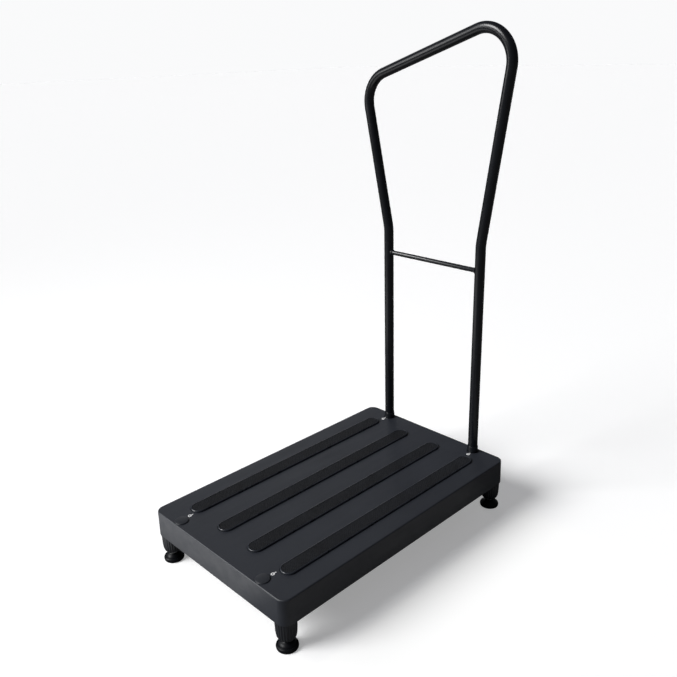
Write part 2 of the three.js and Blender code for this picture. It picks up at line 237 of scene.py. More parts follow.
def place(obj, body, slot, *nodes):
    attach(obj, body)
    if nodes:
        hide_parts(*nodes)


# ---- materials ----------------------------------------------------------------------------------
class Nodes:
    """A material's node tree, with short calls for the nodes that the finishes share."""

    def __init__(self, name):
        self.material = bpy.data.materials.new(name)
        self.material.use_nodes = True
        self.tree = self.material.node_tree
        self.shader = self.tree.nodes["Principled BSDF"]
        self.coordinates = self.tree.nodes.new("ShaderNodeTexCoord").outputs["Object"]

    def node(self, kind, **inputs):
        made = self.tree.nodes.new(kind)
        for key, value in inputs.items():
            self.feed(made.inputs[key.replace("_", " ")], value)
        return made

    def feed(self, socket, value):
        if isinstance(value, bpy.types.NodeSocket):
            self.tree.links.new(value, socket)
        else:
            socket.default_value = value

    def noise(self, scale, detail=3.0, roughness=0.55):
        made = self.node("ShaderNodeTexNoise", Scale=scale, Detail=detail, Roughness=roughness)
        self.feed(made.inputs["Vector"], self.coordinates)
        return made.outputs["Fac"]

    def stretched_noise(self, scales, scale, detail=2.0):
        mapping = self.node("ShaderNodeMapping", Vector=self.coordinates)
        mapping.inputs["Scale"].default_value = scales
        made = self.node("ShaderNodeTexNoise", Scale=scale, Detail=detail)
        self.feed(made.inputs["Vector"], mapping.outputs["Vector"])
        return made.outputs["Fac"]

    def between(self, value, low, high, from_low=0.3, from_high=0.7):
        made = self.node("ShaderNodeMapRange", Value=value)
        made.inputs["From Min"].default_value = from_low
        made.inputs["From Max"].default_value = from_high
        made.inputs["To Min"].default_value = low
        made.inputs["To Max"].default_value = high
        return made.outputs["Result"]

    def mix(self, factor, first, second):
        made = self.tree.nodes.new("ShaderNodeMix")
        made.data_type = "RGBA"
        self.feed(made.inputs["Factor"], factor)
        self.feed(made.inputs["A"], first)
        self.feed(made.inputs["B"], second)
        return made.outputs["Result"]

    def bump(self, height, distance, strength=1.0, under=None):
        made = self.node("ShaderNodeBump", Height=height, Distance=distance, Strength=strength)
        if under is not None:
            self.feed(made.inputs["Normal"], under)
        return made.outputs["Normal"]

    def set(self, **inputs):
        for key, value in inputs.items():
            self.feed(self.shader.inputs[key.replace("_", " ")], value)


def grey(level, tint=0.0):
    """A near-neutral colour; tint above 0 leans it towards blue."""
    return (level * (1 - 0.4 * tint), level, level * (1 + tint), 1.0)


def moulded_plastic(name, level, tint, roughness):
    """Injection-moulded plastic with a fine spark-eroded grain and faint handling marks."""
    nodes = Nodes(name)
    patches = nodes.noise(9.0, 4.0)
    specks = nodes.noise(700.0, 2.0)
    tone = nodes.mix(nodes.between(patches, 0.0, 1.0), grey(level * 0.9, tint), grey(level * 1.1, tint))
    tone = nodes.mix(nodes.between(specks, 0.0, 0.25, 0.55, 0.8), tone, grey(level * 1.6, tint))
    rubbed = nodes.stretched_noise((1.0, 0.15, 1.0), 60.0, 5.0)
    nodes.set(
        Base_Color=tone,
        Roughness=nodes.between(rubbed, roughness - 0.05, roughness + 0.06),
        Specular_IOR_Level=0.45,
        Normal=nodes.bump(nodes.noise(2600.0, 2.0), 0.04 * MM, 0.35),
    )
    return nodes.material


def rubber(name, level, roughness, specular=0.4):
    """Black rubber with a soft bloom and a fine uneven surface."""
    nodes = Nodes(name)
    bloom = nodes.noise(30.0, 5.0)
    tone = nodes.mix(nodes.between(bloom, 0.0, 1.0), grey(level * 0.8, 0.26), grey(level * 1.25, 0.32))
    nodes.set(
        Base_Color=tone,
        Roughness=nodes.between(bloom, roughness - 0.06, roughness + 0.06),
        Specular_IOR_Level=specular,
        Normal=nodes.bump(nodes.noise(1800.0, 2.0), 0.03 * MM, 0.35),
    )
    return nodes.material


def gloss_paint(name, level, roughness):
    """Gloss powder coat on steel: smooth, with a faint orange-peel waviness."""
    nodes = Nodes(name)
    peel = nodes.noise(420.0, 1.0, 0.4)
    haze = nodes.noise(25.0, 3.0)
    tone = nodes.mix(nodes.between(haze, 0.0, 1.0), grey(level * 0.9, 0.3), grey(level * 1.15, 0.4))
    nodes.set(
        Base_Color=tone,
        Roughness=nodes.between(haze, roughness - 0.03, roughness + 0.04),
        Specular_IOR_Level=0.38,
        Normal=nodes.bump(peel, 0.02 * MM, 0.2),
    )
    return nodes.material


def zinc(name):
    """Zinc-plated steel with fine drawn lines and cloudy patches."""
    nodes = Nodes(name)
    clouds = nodes.noise(180.0, 4.0)
    lines = nodes.stretched_noise((1.0, 1.0, 14.0), 260.0)
    tone = nodes.mix(nodes.between(clouds, 0.0, 1.0), grey(0.36, 0.03), grey(0.52, 0.01))
    nodes.set(
        Base_Color=tone,
        Metallic=1.0,
        Roughness=nodes.between(clouds, 0.28, 0.42),
        Normal=nodes.bump(lines, 0.01 * MM, 0.3),
    )
    return nodes.material


def white_ink(name):
    """Pad-printed white ink, slightly uneven."""
    nodes = Nodes(name)
    cover = nodes.noise(1500.0, 3.0)
    tone = nodes.mix(nodes.between(cover, 0.0, 1.0, 0.35, 0.6), grey(0.62), grey(0.85))
    nodes.set(
        Base_Color=tone,
        Roughness=nodes.between(cover, 0.5, 0.62),
        Normal=nodes.bump(cover, 0.03 * MM, 0.3),
    )
    return nodes.material


DECK_PLASTIC = moulded_plastic("deck_plastic", 0.0215, 0.28, 0.45)
LEG_PLASTIC = moulded_plastic("leg_plastic", 0.013, 0.26, 0.46)
CAP_PLASTIC = moulded_plastic("cap_plastic", 0.0185, 0.26, 0.47)
GRIP_RUBBER = rubber("grip_rubber_pattern", 0.008, 0.62)
RIM_RUBBER = rubber("grip_rubber_rim", 0.021, 0.3)
FOOT_RUBBER = rubber("foot_rubber", 0.004, 0.38, specular=0.15)
RAIL_PAINT = gloss_paint("rail_paint", 0.005, 0.26)
COLLAR_PAINT = gloss_paint("collar_gloss", 0.005, 0.28)
ZINC = zinc("zinc_plate")
WHITE_INK = white_ink("white_ink")

# ---- deck ---------------------------------------------------------------------------------------
CORNER_R = 17 * MM
EDGE_R = 2.3 * MM
SKIRT_EDGE_R = 0.7 * MM
INNER_R = 2 * MM
DRAFT = 0.8 * MM  # how far each side leans in from its lower edge to the top
WALL = 3 * MM
PLATE = 4 * MM
RIB_HEIGHT = 25 * MM
RIB_EDGE = 1.2 * MM  # half a rib's thickness at its lower edge
RIB_ROOT = 1.7 * MM  # and where it meets the plate
RIB_X = (-60 * MM, 60 * MM)
RIB_Y = (-140 * MM, 0.0, 140 * MM)
STRIP_POCKET = 1 * MM
STRIP_GAP = 0.55 * MM
SOCKET_BORE = 9.9 * MM
SOCKET_R = 12.2 * MM
SOCKET_BOSS = 14.2 * MM
SOCKET_FLAT = 11.6 * MM  # where the flange is cut off straight, next to the deck's end wall
SOCKET_FLOOR = 60 * MM
SOCKET_LOW = 58 * MM
FLANGE = 2 * MM
EAR = 20 * MM  # from the socket's axis to its fixing screw
EAR_R = 5 * MM
EAR_HOLE_R = 2.1 * MM
EAR_HOLE_DEPTH = 17 * MM
LEG_BOSS = 15.5 * MM
SPIGOT_R = 12.5 * MM
SPIGOT_TOP = 92 * MM
CLAMP_Z = 80 * MM
CLAMP_SHANK = 2.9 * MM
CLEAR = 0.3 * MM
OVERLAP = 1 * MM  # how far a tool or a rib reaches past the surface that it meets

STRIP_X = [middle_of(f"grip_strip_{k}").x for k in range(1, 5)]
STRIP_R = (strip_high.x - strip_low.x) / 2
STRIP_STRAIGHT = strip_high.y - STRIP_R


def clamp_hole():
    """The hole for a clamp screw, from the socket's bore out through its boss towards -Y."""
    return rotated(rod(CLAMP_SHANK + CLEAR, 5 * MM, SOCKET_BOSS + 3 * MM, 24), 90, "X")


def make_deck():
    """The moulded shell: skirt, plate, ribs, bosses with their holes, and the pockets for the strips."""
    def outline(inset, z):
        radius = max(CORNER_R - inset, 0.6 * MM)
        return at_height(rounded_rectangle(HALF_WIDTH - inset, HALF_LENGTH - inset, radius, 12), z)

    def outer(inset, z):
        return outline(inset + DRAFT * (z - SKIRT) / (TOP - SKIRT), z)

    underside = TOP - PLATE
    inside = WALL + DRAFT
    edge = SKIRT_EDGE_R
    bend = (inside + INNER_R, underside - INNER_R)
    loops = [outer(EDGE_R - a, TOP - EDGE_R + b) for a, b in arc((0, 0), EDGE_R, 90, 0, 8)]
    loops += [outer(a, z) for a, z in arc((edge, SKIRT + edge), edge, 180, 270, 3)]
    loops += [outline(a, z) for a, z in arc((inside - edge, SKIRT + edge), edge, 270, 360, 3)]
    loops += [outline(a, z) for a, z in arc(bend, INNER_R, 180, 90, 4)]
    vertices, faces = skin(loops)
    deck = piece("deck", vertices, faces, DECK_PLASTIC)
    outward(deck)

    rib_low = underside - RIB_HEIGHT
    rib_shape = (
        (RIB_EDGE - 0.4 * MM, rib_low),
        (RIB_EDGE, rib_low + 0.5 * MM),
        (RIB_ROOT, underside + OVERLAP),
    )

    def rib(along_x, at):
        length = (HALF_WIDTH if along_x else HALF_LENGTH) - inside + 0.5 * MM
        sections = []
        for half, z in rib_shape:
            corners = [(-length, at - half), (length, at - half), (length, at + half), (-length, at + half)]
            if not along_x:
                corners = [(y, x) for x, y in corners]
            sections.append(at_height(corners, z))
        return skin(sections)

    for x in RIB_X:
        join(deck, rib(False, x))
    for y in RIB_Y:
        join(deck, rib(True, y))
    for _, sx, sy in CORNERS:
        x, y = sx * socket_at.x, sy * socket_at.y
        leg_x, leg_y = sx * leg_at.x, sy * leg_at.y
        ear_x = x - sx * EAR
        join(deck, moved(rod(SOCKET_BOSS, SOCKET_LOW, underside + OVERLAP, 56), x, y))
        join(deck, moved(rod(EAR_R, SOCKET_LOW, underside + OVERLAP), ear_x, y))
        join(deck, moved(rod(LEG_BOSS, SKIRT + CLEAR, underside + OVERLAP, 56), leg_x, leg_y))
        cut(deck, moved(rod(SOCKET_R + CLEAR, SKIRT - OVERLAP, TOP + OVERLAP, 56), x, y))
        cut(deck, moved(rod(EAR_HOLE_R, SKIRT, SOCKET_LOW + EAR_HOLE_DEPTH, 20), ear_x, y))
        cut(deck, moved(rod(SPIGOT_R + CLEAR, SKIRT - OVERLAP, SPIGOT_TOP + CLEAR, 56), leg_x, leg_y))
        if sy > 0:
            cut(deck, moved(clamp_hole(), x, y, CLAMP_Z))
    lead = 0.35 * MM
    pocket_shape = (
        (STRIP_GAP, TOP - STRIP_POCKET),
        (STRIP_GAP, TOP - lead),
        (STRIP_GAP + 2 * lead, TOP + lead),
    )
    pocket = skin([at_height(stadium(STRIP_R + gap, STRIP_STRAIGHT, 24), z) for gap, z in pocket_shape])
    for x in STRIP_X:
        cut(deck, moved(pocket, x))
    shade(deck, 32)
    weigh_normals(deck)
    return deck


place(make_deck(), "deck", "moulded_deck", "deck_shell")

# ---- grip strips --------------------------------------------------------------------------------
RIM_WIDTH = 2.4 * MM  # smooth margin round the patterned field
RIM_EDGE = 2.1 * MM  # the radius of the margin's outer edge
FIELD_DEPTH = 0.9 * MM
FIELD_WALL = 0.3 * MM
DIAMOND = 3.4 * MM  # pitch of the crossed grooves
GROOVE = 0.9 * MM
FIELD_FLOOR_AREA = 1e-3  # square metres; only the floor of the field is a larger face


def make_strip(name, x):
    """One grip strip: a rounded margin round a sunk field, with the raised pattern joined on."""
    top = strip_high.z
    field = top - FIELD_DEPTH
    shape = [(0.0, TOP - STRIP_POCKET), (0.0, TOP)]
    shape += arc((RIM_EDGE, top - RIM_EDGE), RIM_EDGE, 180, 90, 7)
    shape += [(RIM_WIDTH - 0.2 * MM, top), (RIM_WIDTH, top - 0.15 * MM), (RIM_WIDTH + FIELD_WALL, field)]
    loops = [at_height(stadium(STRIP_R - inset, STRIP_STRAIGHT, 24), z) for inset, z in shape]
    strip = piece(name, *skin(loops), [RIM_RUBBER, GRIP_RUBBER])
    outward(strip)
    knurl = make_knurl(STRIP_R - RIM_WIDTH - FIELD_WALL, field)
    for polygon in knurl.data.polygons:
        polygon.material_index = 1
    with bpy.context.temp_override(active_object=strip, selected_editable_objects=[strip, knurl]):
        bpy.ops.object.join()
    for polygon in strip.data.polygons:
        if polygon.area > FIELD_FLOOR_AREA:
            polygon.material_index = 1
    shade(strip, 30)
    weigh_normals(strip)
    strip.data.transform(Matrix.Translation((x, 0, 0)))
    return strip


def diamond(x, y, half):
    return [(x + half, y), (x, y + half), (x - half, y), (x, y - half)]


def make_knurl(radius, floor):
    """Rows of raised diamonds with sloping sides, the grooves between them at 45 degrees to the strip."""
    top = floor + FIELD_DEPTH - 0.2 * MM
    base = (DIAMOND - GROOVE) / math.sqrt(2)
    crown = base - 0.25 * MM * math.sqrt(2)
    vertices, faces = [], []
    count = int(2 * (STRIP_STRAIGHT + radius) / DIAMOND) + 2
    for i in range(-count, count + 1):
        for j in range(-count, count + 1):
            x = (i - j) * DIAMOND / math.sqrt(2)
            y = (i + j) * DIAMOND / math.sqrt(2)
            past_straight = max(abs(y) - STRIP_STRAIGHT, 0.0)
            if math.hypot(x, past_straight) > radius + 0.2 * DIAMOND:
                continue
            low_outline = at_height(diamond(x, y, base), floor - 0.3 * MM)
            stud_vertices, stud_faces = skin([low_outline, at_height(diamond(x, y, crown), top)])
            offset = len(vertices)
            vertices += stud_vertices
            faces += [tuple(k + offset for k in face) for face in stud_faces]
    knurl = piece("knurl", vertices, faces, [RIM_RUBBER, GRIP_RUBBER])
    outward(knurl)
    field = stadium(radius, STRIP_STRAIGHT, 24)
    combine(knurl, skin([at_height(field, floor - 0.2 * MM), at_height(field, top + OVERLAP)]), "INTERSECT")
    return knurl


for k, x in enumerate(STRIP_X, start=1):
    place(make_strip(f"grip_tread_{k}", x), "deck", "grip_rubber", f"grip_strip_{k}")

# ---- sockets, plugs and marks -------------------------------------------------------------------
SCREW_SHANK_R = 1.8 * MM
SCREW_HEAD_R = 4 * MM
PLUG_RIM = 12.1 * MM
PLUG_SPIGOT = 9.5 * MM
PLUG_CROWN = 2.2 * MM
PLUG_SHOULDER = 1.4 * MM  # height at which the rounded rim ends and the low dome begins


def make_screw(name, head_h, length):
    """A pan-head screw: shank up from z = 0, domed head below it, with a crossed recess."""
    profile = [(0.05 * MM, -head_h)]
    for degrees in (20, 40, 60, 75, 90):
        angle = math.radians(degrees)
        rise = 0.75 * head_h * (1 - math.cos(angle))
        profile.append((SCREW_HEAD_R * math.sin(angle), rise - head_h))
    profile += [(SCREW_HEAD_R, -0.1 * MM), (SCREW_HEAD_R - 0.1 * MM, 0.0), (SCREW_SHANK_R, 0.0)]
    profile += [(SCREW_SHANK_R, length - 2 * MM), (0.3 * MM, length)]
    screw = piece(name, *turned(profile, 32), ZINC)
    outward(screw)
    arm, width, depth = SCREW_HEAD_R * 0.55, SCREW_HEAD_R * 0.11, head_h * 0.55
    for wide, tall in ((arm, width), (width, arm)):
        cut(screw, block(-wide, wide, -tall, tall, -head_h - OVERLAP, -head_h + depth))
    shade(screw, 35)
    return screw


def make_socket(name, sx, sy):
    """A rail socket: sleeve, flange with an ear for the fixing screw, bore, drain and clamp hole."""
    low = SOCKET_LOW - FLANGE
    profile = [(SOCKET_BOSS, low), (SOCKET_BOSS, SOCKET_LOW), (SOCKET_R, SOCKET_LOW)]
    profile += [(SOCKET_R, TOP - 0.6 * MM), (SOCKET_R - 0.4 * MM, TOP - 0.2 * MM)]
    socket = piece(name, *turned(profile, 56), CAP_PLASTIC)
    outward(socket)
    join(socket, moved(rod(EAR_R, low, SOCKET_LOW), -sx * EAR))
    x0, x1 = sorted((-sx * EAR, 0.0))
    join(socket, block(x0, x1, -EAR_R, EAR_R, low, SOCKET_LOW))
    y0, y1 = sorted((sy * SOCKET_FLAT, sy * 2 * SOCKET_R))
    cut(socket, block(-2 * SOCKET_R, 2 * SOCKET_R, y0, y1, low - OVERLAP, SOCKET_LOW + OVERLAP))
    lead = 0.9 * MM
    bore = [(SOCKET_BORE, SOCKET_FLOOR), (SOCKET_BORE, TOP - lead), (SOCKET_BORE + lead, TOP + 0.1 * MM)]
    cut(socket, turned(bore, 56))
    cut(socket, rod(3 * MM, low - OVERLAP, SOCKET_FLOOR + OVERLAP, 24))
    cut(socket, moved(rod(EAR_HOLE_R, low - OVERLAP, SOCKET_LOW + OVERLAP, 20), -sx * EAR))
    if sy > 0:
        cut(socket, moved(clamp_hole(), 0, 0, CLAMP_Z))
    shade(socket, 35)
    weigh_normals(socket)
    return socket


def make_plug(name):
    """A low domed cap whose rim overlaps the socket, on a spigot with a lead-in."""
    rim, edge = PLUG_RIM, 0.9 * MM
    profile = [(8 * MM, TOP - 16 * MM), (PLUG_SPIGOT, TOP - 13 * MM), (PLUG_SPIGOT, TOP + 0.1 * MM)]
    profile += [(rim - 0.2 * MM, TOP + 0.1 * MM), (rim, TOP + 0.3 * MM), (rim, TOP + 0.5 * MM)]
    profile += arc((rim - edge, TOP + 0.5 * MM), edge, 15, 75, 4)
    for share in (0.85, 0.7, 0.55, 0.4, 0.25, 0.1, 0.01):
        dome = (PLUG_CROWN - PLUG_SHOULDER) * (1 - share**2)
        profile.append((rim * share * 0.95, TOP + PLUG_SHOULDER + dome))
    plug = piece(name, *turned(profile, 64), CAP_PLASTIC)
    outward(plug)
    return plug


def make_mark(name, low, high):
    """A printed ring with a short bar towards +Y."""
    ring = (high.x - low.x) / 2
    hole, half_bar = ring * 0.48, ring * 0.22
    x, y = (low.x + high.x) / 2, low.y + ring
    mark = piece(name, *turned([(ring, low.z), (ring, high.z)], 40), WHITE_INK)
    outward(mark)
    join(mark, block(-half_bar, half_bar, ring * 0.7, high.y - y, low.z, high.z))
    cut(mark, rod(hole, low.z - OVERLAP, high.z + OVERLAP, 32))
    mark.data.transform(Matrix.Translation((x, y, 0)))
    shade(mark, 35)
    return mark


for corner, sx, sy in CORNERS:
    x, y = sx * socket_at.x, sy * socket_at.y
    socket = make_socket(f"rail_socket_{corner}", sx, sy)
    socket.data.transform(Matrix.Translation((x, y, 0)))
    place(socket, "deck", "cap_plastic", f"socket_{corner}")
    screw_low, screw_high = box_of(f"socket_screw_{corner}")
    head_z = SOCKET_LOW - FLANGE
    screw = make_screw(f"rail_socket_screw_{corner}", head_z - screw_low.z, screw_high.z - head_z)
    screw.data.transform(Matrix.Translation((x - sx * EAR, y, head_z)))
    place(screw, "deck", "zinc_steel", f"socket_screw_{corner}")
    mark = make_mark(f"printed_mark_{corner}", *box_of(f"socket_mark_{corner}"))
    place(mark, "deck", "white_print", f"socket_mark_{corner}")
for side, sx in SIDES.items():
    plug = make_plug(f"domed_plug_{side}")
    plug.data.transform(Matrix.Translation((sx * socket_at.x, -socket_at.y, 0)))
    place(plug, f"plug_{side}", "cap_plastic", f"socket_plug_front_{side}")

# ---- legs ---------------------------------------------------------------------------------------
FLUTES = 24
FLUTE_DEPTH = 0.9 * MM
SLEEVE_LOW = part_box("leg_sleeve_rear_right")[0][2]
NUT_R = 17 / 2 / math.cos(math.pi / 6) * MM  # to the corners of a nut 17 mm across its flats
NUT_POCKET = 8.3 * MM
SLEEVE_BORE_R = 5.8 * MM
SLEEVE_BORE_TOP = 84 * MM
# a sleeve's radius in millimetres, over its lower end and under the skirt
SLEEVE_FOOT = ((13, 0), (13.8, 0.3), (14.7, 1.4), (15.5, 3), (16.2, 5), (16.85, 8), (17.2, 12), (17.55, 18))
SLEEVE_HEAD = ((17.85, -3), (17.9, -1.5), (17.95, -1.1), (18, -0.8), (18, -0.1))


def make_sleeve(name, sx, sy):
    """The fluted sleeve of one leg, with its spigot, bore and nut pocket."""
    top, low = SKIRT, SLEEVE_LOW
    outside = [(radius, low + z) for radius, z in in_mm(SLEEVE_FOOT)]
    outside += [(radius, top + z) for radius, z in in_mm(SLEEVE_HEAD)]
    spigot = [(SPIGOT_R, top - 0.1 * MM), (SPIGOT_R, SPIGOT_TOP - 2 * MM), (SPIGOT_R - 2 * MM, SPIGOT_TOP)]

    def fluted(radius, z, angle):
        if z > top - 1 * MM:
            return radius
        fade = min(1.0, (z - low) / (2.5 * MM), (top - 1 * MM - z) / (0.5 * MM))
        wave = 0.5 - 0.5 * math.cos(FLUTES * angle)
        return radius - FLUTE_DEPTH * max(fade, 0.0) * (1 - wave**0.6)

    sleeve = piece(name, *turned(outside + spigot, FLUTES * 8, fluted), LEG_PLASTIC)
    outward(sleeve)
    cut(sleeve, rod(SLEEVE_BORE_R, low - OVERLAP, SLEEVE_BORE_TOP, 32))
    cut(sleeve, rod(NUT_R + CLEAR, low - OVERLAP, low + NUT_POCKET, 6))
    sleeve.data.transform(Matrix.Translation((sx * leg_at.x, sy * leg_at.y, 0)))
    shade(sleeve, 42)
    weigh_normals(sleeve)
    return sleeve


def make_foot_screw(name, node):
    """Levelling screw: flange in the foot, neck, round grip collar and a coarse thread."""
    low, high = box_of(node)
    radius, core, lead = 4.9 * MM, 4.1 * MM, 3 * MM
    flange, flange_top, edge = 7.2 * MM, 9.7 * MM, 0.4 * MM
    collar, collar_low, collar_high = 7.6 * MM, 14.6 * MM, SLEEVE_LOW - CLEAR
    profile = [(flange - 0.2 * MM, low.z), (flange, low.z + 0.2 * MM), (flange, flange_top)]
    profile += [(radius, flange_top), (radius, collar_low), (collar - edge, collar_low)]
    profile += [(collar, collar_low + edge), (collar, collar_high - edge)]
    profile += [(collar - edge, collar_high), (core, collar_high)]
    steps = int((high.z - 1 * MM - collar_high) / (lead / 10))
    profile += [(core, collar_high + (k + 1) * lead / 10) for k in range(steps)]
    profile += [(core - 1.2 * MM, high.z)]

    def threaded(r, z, angle):
        if r != core or z < collar_high + 0.1 * MM:
            return r
        turn = ((z - collar_high) / lead - angle / math.tau) % 1.0
        flank = min(max(1.9 - abs(turn - 0.5) * 6.0, 0.0), 1.0)
        fade = min(1.0, (z - collar_high) / lead, (high.z - z) / (2 * MM))
        return core + (radius - core) * flank * max(fade, 0.0)

    screw = piece(name, *turned(profile, 40, threaded), ZINC, 40)
    outward(screw)
    return screw


def make_foot(name):
    """Mushroom-shaped rubber foot: a tread with shallow rings, a bulged rim with a lip, and a dome."""
    tread = [(0.1, 0), (5, 0), (5.4, 0.7), (7, 0.7), (7.4, 0), (10.2, 0), (10.6, 0.7), (12.2, 0.7), (12.6, 0)]
    rim = [(16.7, 0), (17.5, 0.4), (17.95, 1.3), (18.15, 2.8), (18.15, 4.2), (17.9, 5.4), (17.3, 6.4)]
    lip = [(16.6, 7), (16, 7.2), (15.5, 7), (15.1, 6.6), (14.8, 7)]
    dome = [(14.3, 8.2), (13.4, 9.6), (12.2, 10.9), (10.6, 12.1), (8.9, 12.9)]
    collar = [(8.1, 13.4), (7.8, 14), (7.4, 14.2)]
    hollow = [(5.3, 14.2), (5.3, 10), (7.6, 10), (7.6, 4), (0.1, 4)]
    foot = piece(name, *turned(in_mm(tread + rim + lip + dome + collar + hollow), 72), FOOT_RUBBER, 40)
    outward(foot)
    return foot


for corner, sx, sy in CORNERS:
    x, y = sx * leg_at.x, sy * leg_at.y
    place(make_sleeve(f"fluted_leg_{corner}", sx, sy), "deck", "leg_plastic", f"leg_sleeve_{corner}")
    foot = make_foot(f"rubber_foot_{corner}")
    foot.data.transform(Matrix.Translation((x, y, 0)))
    place(foot, f"foot_{corner}", "foot_rubber", f"foot_pad_{corner}")
    stud = make_foot_screw(f"levelling_screw_{corner}", f"foot_screw_{corner}")
    stud.data.transform(Matrix.Translation((x, y, 0)))
    place(stud, f"foot_screw_{corner}", "zinc_steel", f"foot_screw_{corner}")

# ---- handrail -----------------------------------------------------------------------------------
TUBE_R = 9.5 * MM
TUBE_BORE = 8.3 * MM
TUBE_SIDES = 48
BEND_Z = 525 * MM
CORNER_X = 170.5 * MM
LOW_CORNER_Z = 803.5 * MM
HIGH_CORNER_Z = 914 * MM
BEND_R = 90 * MM
HOOP_R = 55 * MM
CROSSBAR_Z = middle_of("handrail_crossbar").z
CROSSBAR_R = 4.5 * MM


def rail_path():
    """Points on the tube's centre line with the direction there, each bend a true arc."""
    x = socket_at.x
    low = rail_low.z
    left = [(-x, low), (-x, BEND_Z), (-CORNER_X, LOW_CORNER_Z)]
    right = [(CORNER_X, HIGH_CORNER_Z), (x, BEND_Z), (x, low)]
    corners = [Vector(corner) for corner in left + right]
    radii = (BEND_R, HOOP_R, HOOP_R, BEND_R)
    stations = [(corners[0], (corners[1] - corners[0]).normalized())]
    for k, radius in enumerate(radii, start=1):
        before = (corners[k] - corners[k - 1]).normalized()
        after = (corners[k + 1] - corners[k]).normalized()
        turn = before.angle_signed(after) * -1
        reach = radius * math.tan(abs(turn) / 2)
        start = corners[k] - before * reach
        side = math.copysign(1.0, turn)
        centre = start + Vector((-before.y, before.x)) * side * radius
        steps = max(4, math.ceil(math.degrees(abs(turn)) / 3))
        for i in range(steps + 1):
            rotation = Matrix.Rotation(turn * i / steps, 2)
            stations.append((centre + rotation @ (start - centre), rotation @ before))
    stations.append((corners[-1], (corners[-1] - corners[-2]).normalized()))
    return stations


def make_rail():
    """The bent tube, open at both lower ends."""
    stations = rail_path()

    def section(station, radius):
        point, along = station
        across = Vector((-along.y, along.x))
        loop = []
        for i in range(TUBE_SIDES):
            angle = math.tau * i / TUBE_SIDES
            side = point + across * radius * math.cos(angle)
            loop.append((side.x, socket_at.y + radius * math.sin(angle), side.y))
        return loop

    outside = [section(s, TUBE_R - 0.02 * MM) for s in stations]
    inside = [section(s, TUBE_BORE) for s in reversed(stations)]
    rail = piece("handrail_hoop", *skin(outside + inside, closed=True), RAIL_PAINT, 50)
    outward(rail)
    return rail


def make_crossbar():
    """The thin bar, with a weld fillet where each end meets an upright."""
    end = socket_at.x - TUBE_R + 0.8 * MM
    weld = ((0, -3.6), (0.3, -3), (1.2, -2), (1.9, -0.9), (1.9, 0))  # out from the bar, and from its end
    half = [(CROSSBAR_R, 0.0)] + [(CROSSBAR_R + out, end + along) for out, along in in_mm(weld)]

    def uneven(radius, z, angle):
        if radius < CROSSBAR_R + 0.2 * MM:
            return radius
        return radius + 0.18 * MM * math.sin(9 * angle + 3.0) * math.cos(4 * angle)

    profile = [(r, -z) for r, z in reversed(half)] + half[1:]
    bar = piece("rail_crossbar", *rotated(turned(profile, 40, uneven), 90, "Y"), RAIL_PAINT, 40)
    outward(bar)
    bar.data.transform(Matrix.Translation((0, socket_at.y, CROSSBAR_Z)))
    return bar


place(make_rail(), "handrail", "gloss_black_steel", "handrail_tube")
place(make_crossbar(), "handrail", "gloss_black_steel", "handrail_crossbar")


def make_collar(name, node):
    """The slightly tapered ring round an upright, where it meets the deck."""
    low, high = box_of(node)
    inner, wide, narrow = 9.6 * MM, 10.85 * MM, 10.4 * MM
    profile = [(inner, low.z), (wide, low.z), (wide, low.z + 1 * MM), (narrow, high.z - 0.8 * MM)]
    profile += [(narrow - 0.3 * MM, high.z - 0.2 * MM), (narrow - 0.6 * MM, high.z), (inner, high.z)]
    collar = piece(name, *turned(profile, 56, closed=True), COLLAR_PAINT, 40)
    outward(collar)
    return collar


def make_end_cap(name, node):
    """The plastic cap in the lower end of an upright."""
    low, high = box_of(node)
    rim = rail_low.z - 0.1 * MM
    head = TUBE_R - 0.1 * MM
    profile = [(TUBE_R - 1.2 * MM, low.z), (TUBE_R - 0.3 * MM, low.z + 0.5 * MM), (head, low.z + 1.2 * MM)]
    profile += [(head, rim), (TUBE_BORE - CLEAR, rim), (TUBE_BORE - CLEAR, high.z)]
    cap = piece(name, *turned(profile, 48), CAP_PLASTIC, 40)
    outward(cap)
    return cap


for side, sx in SIDES.items():
    for make, title in ((make_collar, "collar"), (make_end_cap, "end_cap")):
        node = f"handrail_{title}_{side}"
        made = make(f"rail_{title}_{side}", node)
        made.data.transform(Matrix.Translation((sx * socket_at.x, socket_at.y, 0)))
        place(made, "handrail", "cap_plastic", node)

# ---- clamp screws -------------------------------------------------------------------------------
KNOB_R = 11 * MM
KNOB_LENGTH = 9 * MM
KNOB_DISH = 6.5 * MM  # radius of the shallow dish in the knob's face


def make_knob(name, node):
    """A four-lobed knob with rounded rims on a plain shank, its axis along -Y."""
    low, high = box_of(node)
    start, end = socket_at.y - high.y, socket_at.y - low.y
    knob_start = end - KNOB_LENGTH
    edge, depth = 1.5 * MM, 0.6 * MM
    profile = [(CLAMP_SHANK - 0.4 * MM, start), (CLAMP_SHANK, start + 0.4 * MM), (CLAMP_SHANK, knob_start)]
    profile += [(5 * MM, knob_start), (KNOB_R - edge, knob_start)]
    profile += arc((KNOB_R - edge, knob_start + edge), edge, -60, 0, 3)
    profile += arc((KNOB_R - edge, end - edge), edge, 0, 90, 4)
    profile += [(KNOB_DISH, end), (KNOB_DISH - 0.5 * MM, end - depth), (0.5 * MM, end - depth)]

    def lobed(radius, z, angle):
        if radius < KNOB_DISH + 0.1 * MM:
            return radius
        return radius * (0.88 + 0.12 * math.cos(4 * angle))

    knob = piece(name, *rotated(turned(profile, 96, lobed), 90, "X"), CAP_PLASTIC, 45)
    outward(knob)
    return knob


for side, sx in SIDES.items():
    node = f"clamp_knob_{side}"
    knob = make_knob(f"rail_clamp_knob_{side}", node)
    knob.data.transform(Matrix.Translation((sx * socket_at.x, socket_at.y, CLAMP_Z)))
    place(knob, node, "cap_plastic", node)

